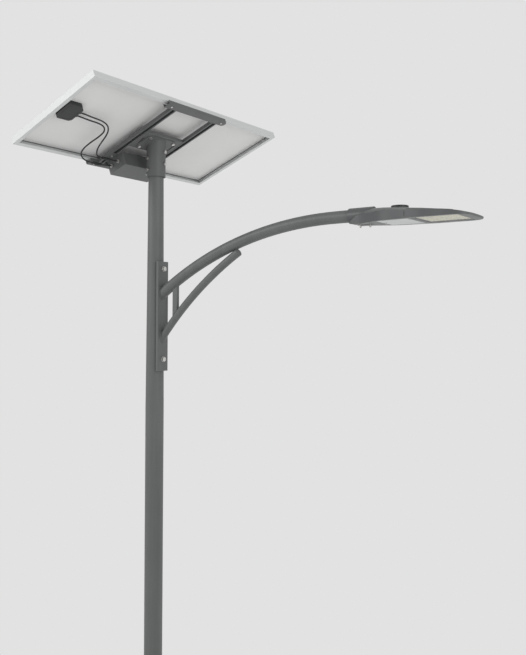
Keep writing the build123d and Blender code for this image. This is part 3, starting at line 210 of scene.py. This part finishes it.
def cell_material():
    """Blue-black silicon with silver busbars along the strings and fine fingers across them."""
    material = surface("solar_cell", (0.010, 0.014, 0.030), 0.30, spread=0.25, blotch=5.0, coat=0.6)
    tree = material.node_tree
    shader = tree.nodes["Principled BSDF"]
    silicon = shader.inputs["Base Color"].links[0].from_socket
    place = add(tree, "ShaderNodeTexCoord")
    slope = add(tree, "ShaderNodeVectorMath", operation="DOT_PRODUCT")
    slope.inputs[1].default_value = UP_SLOPE
    link(tree, place.outputs["Object"], slope.inputs[0])
    along = add(tree, "ShaderNodeSeparateXYZ")
    link(tree, place.outputs["Object"], along.inputs["Vector"])
    start = UP_SLOPE.dot(CARRIER_ORIGIN)
    masks = []
    for source, origin, pitch, width in (
        (slope.outputs["Value"], start, BUSBAR_PITCH, BUSBAR_WIDTH),
        (along.outputs["Y"], 0.0, FINGER_PITCH, FINGER_WIDTH),
    ):
        shift = add(tree, "ShaderNodeMath", operation="SUBTRACT")
        shift.inputs[1].default_value = origin - 100 * pitch
        link(tree, source, shift.inputs[0])
        wrap = add(tree, "ShaderNodeMath", operation="MODULO")
        wrap.inputs[1].default_value = pitch
        link(tree, shift.outputs[0], wrap.inputs[0])
        line = add(tree, "ShaderNodeMath", operation="LESS_THAN")
        line.inputs[1].default_value = width
        link(tree, wrap.outputs[0], line.inputs[0])
        masks.append(line)
    either = add(tree, "ShaderNodeMath", operation="MAXIMUM")
    link(tree, masks[0].outputs[0], either.inputs[0])
    link(tree, masks[1].outputs[0], either.inputs[1])
    silver = add(tree, "ShaderNodeMixRGB")
    silver.inputs[2].default_value = (0.42, 0.43, 0.45, 1)
    link(tree, either.outputs[0], silver.inputs[0])
    link(tree, silicon, silver.inputs[1])
    link(tree, silver.outputs[0], shader.inputs["Base Color"])
    return material


MATERIALS = {
    "pole_paint": surface(
        "pole_paint", (0.108, 0.111, 0.111), 0.50, grain=420.0, depth=0.0001, stretch=(1, 1, 0.4),
        edge=0.0014, edge_gain=1.9, streak=0.10),
    "carrier_paint": surface(
        "carrier_paint", (0.100, 0.103, 0.103), 0.52, grain=420.0, depth=0.0001, edge=0.0012, edge_gain=1.9,
        streak=0.05),
    "box_paint": surface(
        "box_paint", (0.102, 0.105, 0.105), 0.50, grain=420.0, depth=0.0001, edge=0.0012, edge_gain=1.9,
        streak=0.08),
    "zinc_steel": surface(
        "zinc_steel", (0.60, 0.60, 0.58), 0.34, metallic=1.0, blotch=60.0, spread=0.10, spangle=0.14,
        edge=0.0006, edge_gain=1.25),
    "frame_aluminium": surface(
        "frame_aluminium", (0.60, 0.61, 0.61), 0.52, metallic=0.15, stretch=(6, 0.2, 6), spread=0.04,
        edge=0.0006, edge_gain=1.15),
    "panel_glass": surface("panel_glass", (0.03, 0.04, 0.05), 0.08, alpha=0.22, coat=1.0, depth=0.00002),
    "solar_cell": cell_material(),
    "backsheet_white": surface(
        "backsheet_white", (0.70, 0.70, 0.69), 0.60, spread=0.025, blotch=3.0, grain=260.0),
    "black_plastic": surface(
        "black_plastic", (0.014, 0.015, 0.016), 0.48, grain=1500.0, edge=0.0008, edge_gain=3),
    "cable_black": surface("cable_black", (0.007, 0.007, 0.008), 0.50, grain=1800.0, depth=0.00003),
    "lantern_body": surface(
        "lantern_body", (0.080, 0.083, 0.085), 0.40, grain=520.0, depth=0.00008, edge=0.0012, edge_gain=1.8,
        streak=0.06),
    "lantern_silver": surface(
        "lantern_silver", (0.56, 0.57, 0.57), 0.42, spread=0.04, grain=520.0, edge=0.0008, edge_gain=1.2),
    "optic_glass": surface("optic_glass", (0.90, 0.93, 0.94), 0.05, alpha=0.16, coat=1.0, depth=0.00001),
    "gasket_rubber": surface("gasket_rubber", (0.012, 0.012, 0.012), 0.66, grain=900.0),
    "led_board": surface("led_board", (0.50, 0.51, 0.51), 0.50, grain=400.0),
    "led_phosphor": surface("led_phosphor", (0.86, 0.80, 0.52), 0.42, spread=0.06, blotch=90.0),
    "driver_case": surface("driver_case", (0.55, 0.56, 0.57), 0.40, metallic=1.0, edge=0.0008, spangle=0.06),
    "battery_wrap": surface("battery_wrap", (0.03, 0.12, 0.36), 0.30, coat=0.4, edge=0.0006),
    "controller_case": surface("controller_case", (0.03, 0.03, 0.035), 0.42, metallic=0.6, edge=0.0006),
}


def finish_node(node, slot):
    mesh = NODES[node].data
    mesh.materials.clear()
    mesh.materials.append(MATERIALS[slot])


for row in frame["record"]["subparts"]:
    finish_node(row["node"], row["material_slot"])


# ================================================================ leads
LEAD_D = 0.008
# from the junction box to the first connector, in the carrier's own frame
LEAD_A = (
    (0.030, -0.578, 0.018),
    (0.030, -0.550, 0.018),
    (0.037, -0.500, 0.004),
    (0.042, -0.446, -0.004),
    (0.028, -0.398, -0.011),
    (-0.004, -0.367, -0.017),
    (-0.046, -0.351, -0.025),
    (-0.098, -0.344, -0.034),
    (-0.144, -0.336, -0.045),
    (-0.180, -0.317, -0.055),
    (-0.196, -0.291, -0.060),
    (-0.196, -0.263, -0.060),
)
LEAD_B = (
    (0.000, -0.578, 0.018),
    (0.000, -0.550, 0.018),
    (0.008, -0.500, 0.004),
    (0.016, -0.452, -0.004),
    (0.008, -0.406, -0.009),
    (-0.022, -0.378, -0.015),
    (-0.068, -0.380, -0.022),
    (-0.120, -0.397, -0.031),
    (-0.172, -0.408, -0.041),
    (-0.213, -0.401, -0.051),
    (-0.238, -0.372, -0.060),
    (-0.249, -0.330, -0.068),
    (-0.249, -0.296, -0.068),
)
# from the battery box's glands back to the second connector
PIGTAIL_A = (
    (-0.193, -0.152, -0.061),
    (-0.193, -0.168, -0.061),
    (-0.196, -0.185, -0.060),
    (-0.196, -0.202, -0.060),
)
PIGTAIL_B = (
    (-0.250, -0.152, -0.061),
    (-0.250, -0.176, -0.061),
    (-0.249, -0.202, -0.068),
    (-0.249, -0.226, -0.068),
)


def lead(name, node, route):
    """A cable on a smooth line, from where it leaves the object to its connector."""
    points = [carrier(*point) for point in route]
    curve = bpy.data.curves.new(name, "CURVE")
    curve.dimensions = "3D"
    curve.bevel_depth = LEAD_D / 2
    curve.bevel_resolution = 5
    curve.resolution_u = 10
    curve.use_fill_caps = True
    spline = curve.splines.new("NURBS")
    spline.points.add(len(points) - 1)
    for slot, point in zip(spline.points, points):
        slot.co = (*point, 1.0)
    spline.order_u = 3
    spline.use_endpoint_u = True
    curve.materials.append(MATERIALS["cable_black"])
    piece = bpy.data.objects.new(name, curve)
    bpy.context.scene.collection.objects.link(piece)
    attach(piece, "panel_head")
    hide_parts(node)
    return piece


lead("lead_a_jacket", "panel_lead_a", LEAD_A)
lead("lead_b_jacket", "panel_lead_b", LEAD_B)
lead("pigtail_a_jacket", "box_lead_a", PIGTAIL_A)
lead("pigtail_b_jacket", "box_lead_b", PIGTAIL_B)


# ================================================================ seams, welds and ribs
def ring_frame(path, index, closed, up):
    """The two directions across a path at one of its points."""
    last = len(path) - 1
    before = path[index - 1] if index or closed else path[0]
    after = path[(index + 1) % len(path)] if index < last or closed else path[last]
    ahead = (after - before).normalized()
    side = ahead.cross(up).normalized()
    return side, side.cross(ahead).normalized()


RING = 8
RIPPLE_TURN = 1.9
RIPPLE_DRIFT = 0.77


def bead_mesh(shape, path, radius, closed, up, ripple):
    """One rounded bead along a path, its girth rising and falling like laid weld metal."""
    rings = []
    for index, point in enumerate(path):
        side, over = ring_frame(path, index, closed, up)
        turn, drift = math.sin(index * RIPPLE_TURN), math.sin(index * RIPPLE_DRIFT)
        girth = radius * (1 + ripple * turn + 0.5 * ripple * drift)
        ring = []
        for step in range(RING):
            angle = 2 * math.pi * step / RING
            across = point + side * girth * math.cos(angle)
            ring.append(shape.verts.new(across + over * girth * math.sin(angle)))
        rings.append(ring)
    pairs = list(zip(rings, rings[1:]))
    if closed:
        pairs.append((rings[-1], rings[0]))
    for one, two in pairs:
        for step in range(RING):
            after = (step + 1) % RING
            shape.faces.new((one[step], one[after], two[after], two[step]))
    if not closed:
        shape.faces.new(rings[0])
        shape.faces.new(reversed(rings[-1]))


def beads(name, body, slot, runs):
    """A piece made of several beads; each run is its path, radius, closed, up and ripple."""
    shape = bmesh.new()
    for path, radius, closed, up, ripple in runs:
        bead_mesh(shape, path, radius, closed, up, ripple)
    bmesh.ops.recalc_face_normals(shape, faces=shape.faces)
    mesh = bpy.data.meshes.new(name)
    shape.to_mesh(mesh)
    shape.free()
    for face in mesh.polygons:
        face.use_smooth = True
    mesh.materials.append(MATERIALS[slot])
    piece = bpy.data.objects.new(name, mesh)
    bpy.context.scene.collection.objects.link(piece)
    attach(piece, body)
    return piece


def oval(centre, across, upright, half_across, half_upright, count):
    """A closed ring of points about a centre, in the plane of two directions."""
    points = []
    for index in range(count):
        angle = 2 * math.pi * index / count
        reach = across * half_across * math.cos(angle) + upright * half_upright * math.sin(angle)
        points.append(centre + reach)
    return points


def run(start, end, step):
    """Evenly spaced points on a straight line."""
    count = max(2, round((end - start).length / step) + 1)
    return [start.lerp(end, index / (count - 1)) for index in range(count)]


X_AXIS = Vector((1, 0, 0))
Y_AXIS = Vector((0, 1, 0))
Z_AXIS = Vector((0, 0, 1))
WELD_R = 0.0035
WELD_STEP = 0.003
WELD_RIPPLE = 0.09
WELD_CLEAR = 0.002
FOOT_WELD_R = WELD_R * 1.3
FOOT_POINTS = 110
ARM_POINTS = 68
SLEEVE_POINTS = 116
RIB_POINTS = 28
PLATE_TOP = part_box("base_plate")[1].z
POLE_R = 0.052
GUSSET_HALF = 0.004
GUSSET_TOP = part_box("base_gussets")[1].z
GUSSET_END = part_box("base_gussets")[1].x


def foot_welds():
    foot = Vector((0, 0, PLATE_TOP))
    ring = oval(foot, X_AXIS, Y_AXIS, POLE_R, POLE_R, FOOT_POINTS)
    runs = [(ring, FOOT_WELD_R, True, Z_AXIS, WELD_RIPPLE)]
    for turn in range(4):
        spin = Matrix.Rotation(turn * math.pi / 2, 3, "Z")
        for side in (-GUSSET_HALF, GUSSET_HALF):
            low = spin @ Vector((POLE_R, side, PLATE_TOP))
            high = spin @ Vector((POLE_R, side, GUSSET_TOP - WELD_CLEAR))
            end = spin @ Vector((GUSSET_END - WELD_CLEAR, side, PLATE_TOP))
            runs.append((run(low, high, WELD_STEP), WELD_R, False, spin @ Y_AXIS, WELD_RIPPLE))
            runs.append((run(low, end, WELD_STEP), WELD_R, False, Z_AXIS, WELD_RIPPLE))
    beads("foot_welds", "pole", "pole_paint", runs)


FACE_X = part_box("arm_bracket")[1].x
ARM_ROOT_Z = 3.823
ARM_ROOT_HALF = (0.030, 0.0362)
BRACE_ROOT_Z = 3.574
BRACE_ROOT_HALF = (0.021, 0.0329)


def arm_welds():
    runs = []
    for z, (across, upright) in ((ARM_ROOT_Z, ARM_ROOT_HALF), (BRACE_ROOT_Z, BRACE_ROOT_HALF)):
        path = oval(Vector((FACE_X, 0, z)), Y_AXIS, Z_AXIS, across, upright, ARM_POINTS)
        runs.append((path, WELD_R, True, X_AXIS, WELD_RIPPLE))
    beads("arm_welds", "pole", "pole_paint", runs)


SLEEVE_HALF = 0.054
FLANGE_UNDER = -0.025


def sleeve_weld():
    centre = CARRIER_ORIGIN + OUT_OF_GLASS * FLANGE_UNDER
    centre += UP_SLOPE * FLANGE_UNDER * math.tan(PANEL_TILT)
    path = oval(centre, ALONG, UP_SLOPE, SLEEVE_HALF, SLEEVE_HALF / math.cos(PANEL_TILT), SLEEVE_POINTS)
    runs = [(path, WELD_R, True, OUT_OF_GLASS, WELD_RIPPLE)]
    beads("sleeve_weld", "panel_head", "carrier_paint", runs)


PANEL_HALF = (0.335, 0.740)
SHELF_IN = 0.0112
SEALANT_SHADE_Z = 0.0280
SEALANT_SHADE_R = 0.0018
SEALANT_SHADE_STEP = 0.012
SEALANT_SHADE_RIPPLE = 0.06


def frame_sealant_shade():
    """The dark bead along the frame's shelf, seen from below: partly the sealant that bonds the laminate,
    partly painted shade standing in for the frame's shadowed inner wall.
    """
    s = PANEL_HALF[0] - SHELF_IN
    y = PANEL_HALF[1] - SHELF_IN
    corners = ((-s, -y), (s, -y), (s, y), (-s, y))
    runs = []
    for one, two in zip(corners, corners[1:] + corners[:1]):
        path = run(carrier(*one, SEALANT_SHADE_Z), carrier(*two, SEALANT_SHADE_Z), SEALANT_SHADE_STEP)
        runs.append((path, SEALANT_SHADE_R, False, OUT_OF_GLASS, SEALANT_SHADE_RIPPLE))
    # the black bead paints the shade inside the frame's recess as well as the sealant
    beads("frame_sealant_shade", "panel_head", "gasket_rubber", runs)


RIB_R = 0.0009
CONNECTOR_R = 0.0085
RIB_STEP = 0.004
RIB_START = 0.004
RIBS = 3


def connector_ribs():
    """Grip rings round each connector's barrel."""
    runs = []
    for route, tail in ((LEAD_A, PIGTAIL_A), (LEAD_B, PIGTAIL_B)):
        s, start, z = route[-1]
        middle = (start + tail[-1][1]) / 2
        for index in range(RIBS):
            y = middle - RIB_START - index * RIB_STEP
            path = oval(carrier(s, y, z), UP_SLOPE, OUT_OF_GLASS, CONNECTOR_R, CONNECTOR_R, RIB_POINTS)
            runs.append((path, RIB_R, True, ALONG, 0.0))
    beads("connector_ribs", "panel_head", "black_plastic", runs)


SEAM_R = 0.0011
SEAM_TURN_X = 1.608
SEAM_SIDE_Z = (-0.036, -0.014)
# x and distance from the middle of the seam along the roof's shoulder
SEAM_ROOF = ((1.614, 0.112), (1.640, 0.113), (1.700, 0.118), (1.760, 0.120), (1.800, 0.119), (1.836, 0.114))
SEAM_STEPS = 6
SEAM_UP = (0.1, 0.4)
RAY_OUT = 0.3
RAY_ABOVE = 0.2
LAMP_AXIS_Z = 4.172


def lantern_seam():
    """The rubber joint between the gear end and the lamp end, found on the shell itself."""
    shell = BVHTree.FromObject(NODES["lantern_housing"], bpy.context.evaluated_depsgraph_get())
    place = NODES["lantern_housing"].matrix_world
    back = place.inverted()
    runs = []
    for side in (-1, 1):
        rays = []
        low, high = SEAM_SIDE_Z
        for step in range(SEAM_STEPS):
            z = low + (high - low) * step / (SEAM_STEPS - 1)
            start = Vector((SEAM_TURN_X, side * RAY_OUT, LAMP_AXIS_Z + z))
            rays.append((start, -side * Y_AXIS))
        for one, two in zip(SEAM_ROOF, SEAM_ROOF[1:]):
            for step in range(SEAM_STEPS):
                part = step / SEAM_STEPS
                x = one[0] + (two[0] - one[0]) * part
                y = one[1] + (two[1] - one[1]) * part
                rays.append((Vector((x, side * y, LAMP_AXIS_Z + RAY_ABOVE)), -Z_AXIS))
        path = []
        for start, direction in rays:
            point = shell.ray_cast(back @ start, back.to_3x3() @ direction)[0]
            if point:
                path.append(place @ point)
        up = Vector((SEAM_UP[0], side, SEAM_UP[1])).normalized()
        runs.append((path, SEAM_R, False, up, 0.0))
    beads("lantern_seam", "lantern", "gasket_rubber", runs)


foot_welds()
arm_welds()
sleeve_weld()
frame_sealant_shade()
connector_ribs()
lantern_seam()


# ================================================================ floor, light, camera
BACKDROP = 0.76
FLOOR_GAP = 0.001
LIGHT_SIZE = 3.0
LIGHT_TARGET = (0.3, 0, 4.2)
KEY_PLACE = (-3.2, -5.2, 6.4)
KEY_POWER = 140.0
FILL_PLACE = (5.5, -1.5, 5.0)
FILL_POWER = 60.0
FLOOR_RADIUS = 2.6


def build_floor():
    mesh = bpy.data.meshes.new("floor")
    shape = bmesh.new()
    bmesh.ops.create_circle(shape, cap_ends=True, segments=96, radius=FLOOR_RADIUS)
    shape.to_mesh(mesh)
    shape.free()
    mesh.materials.append(surface("floor", (0.74, 0.74, 0.74), 0.75, spread=0.01))
    floor = bpy.data.objects.new("floor", mesh)
    floor.location.z = cad_low.z - FLOOR_GAP
    bpy.context.scene.collection.objects.link(floor)


def area_light(name, place, target, size, power):
    light = bpy.data.lights.new(name, "AREA")
    light.shape = "DISK"
    light.size = size
    light.energy = power
    lamp = bpy.data.objects.new(name, light)
    lamp.location = place
    lamp.rotation_euler = (Vector(target) - Vector(place)).to_track_quat("-Z", "Y").to_euler()
    lamp.visible_camera = False
    bpy.context.scene.collection.objects.link(lamp)


SKY_SHARE = 0.16


def build_world():
    """A pale studio: even to the camera, and a little brighter from below to everything else."""
    world = bpy.data.worlds.new("studio")
    world.use_nodes = True
    tree = world.node_tree
    soft = tree.nodes["Background"]
    plain = add(tree, "ShaderNodeBackground")
    plain.inputs["Color"].default_value = (BACKDROP, BACKDROP, BACKDROP, 1)
    place = add(tree, "ShaderNodeTexCoord")
    height = add(tree, "ShaderNodeSeparateXYZ")
    link(tree, place.outputs["Generated"], height.inputs["Vector"])
    level = add(tree, "ShaderNodeMapRange")
    level.inputs["From Min"].default_value = -1
    level.inputs["To Min"].default_value = BACKDROP + SKY_SHARE
    level.inputs["To Max"].default_value = BACKDROP - SKY_SHARE
    link(tree, height.outputs["Z"], level.inputs["Value"])
    link(tree, level.outputs["Result"], soft.inputs["Color"])
    path = add(tree, "ShaderNodeLightPath")
    choose = add(tree, "ShaderNodeMixShader")
    link(tree, path.outputs["Is Camera Ray"], choose.inputs[0])
    link(tree, soft.outputs[0], choose.inputs[1])
    link(tree, plain.outputs[0], choose.inputs[2])
    link(tree, choose.outputs[0], tree.nodes["World Output"].inputs["Surface"])
    bpy.context.scene.world = world
    bpy.context.scene.view_settings.view_transform = "Standard"


CAMERA_PLACE = Vector((3.0535, -3.1640, 3.6904))
CAMERA_HEADING = 35.89
CAMERA_ROLL = 0.37
CAMERA_LENS = 41.68
CAMERA_SHIFT_Y = -0.016


def build_camera():
    data = bpy.data.cameras.new("camera")
    data.lens = CAMERA_LENS
    data.sensor_width = 36.0
    data.shift_y = CAMERA_SHIFT_Y
    data.clip_start = 0.1
    data.clip_end = 100.0
    camera = bpy.data.objects.new("camera", data)
    heading = Matrix.Rotation(math.radians(CAMERA_HEADING), 4, "Z")
    level = Matrix.Rotation(math.radians(90), 4, "X")
    roll = Matrix.Rotation(math.radians(CAMERA_ROLL), 4, "Z")
    camera.matrix_world = Matrix.Translation(CAMERA_PLACE) @ heading @ level @ roll
    bpy.context.scene.collection.objects.link(camera)
    bpy.context.scene.camera = camera


build_floor()
build_world()
build_camera()
area_light("key", KEY_PLACE, LIGHT_TARGET, LIGHT_SIZE, KEY_POWER)
area_light("fill", FILL_PLACE, LIGHT_TARGET, LIGHT_SIZE, FILL_POWER)
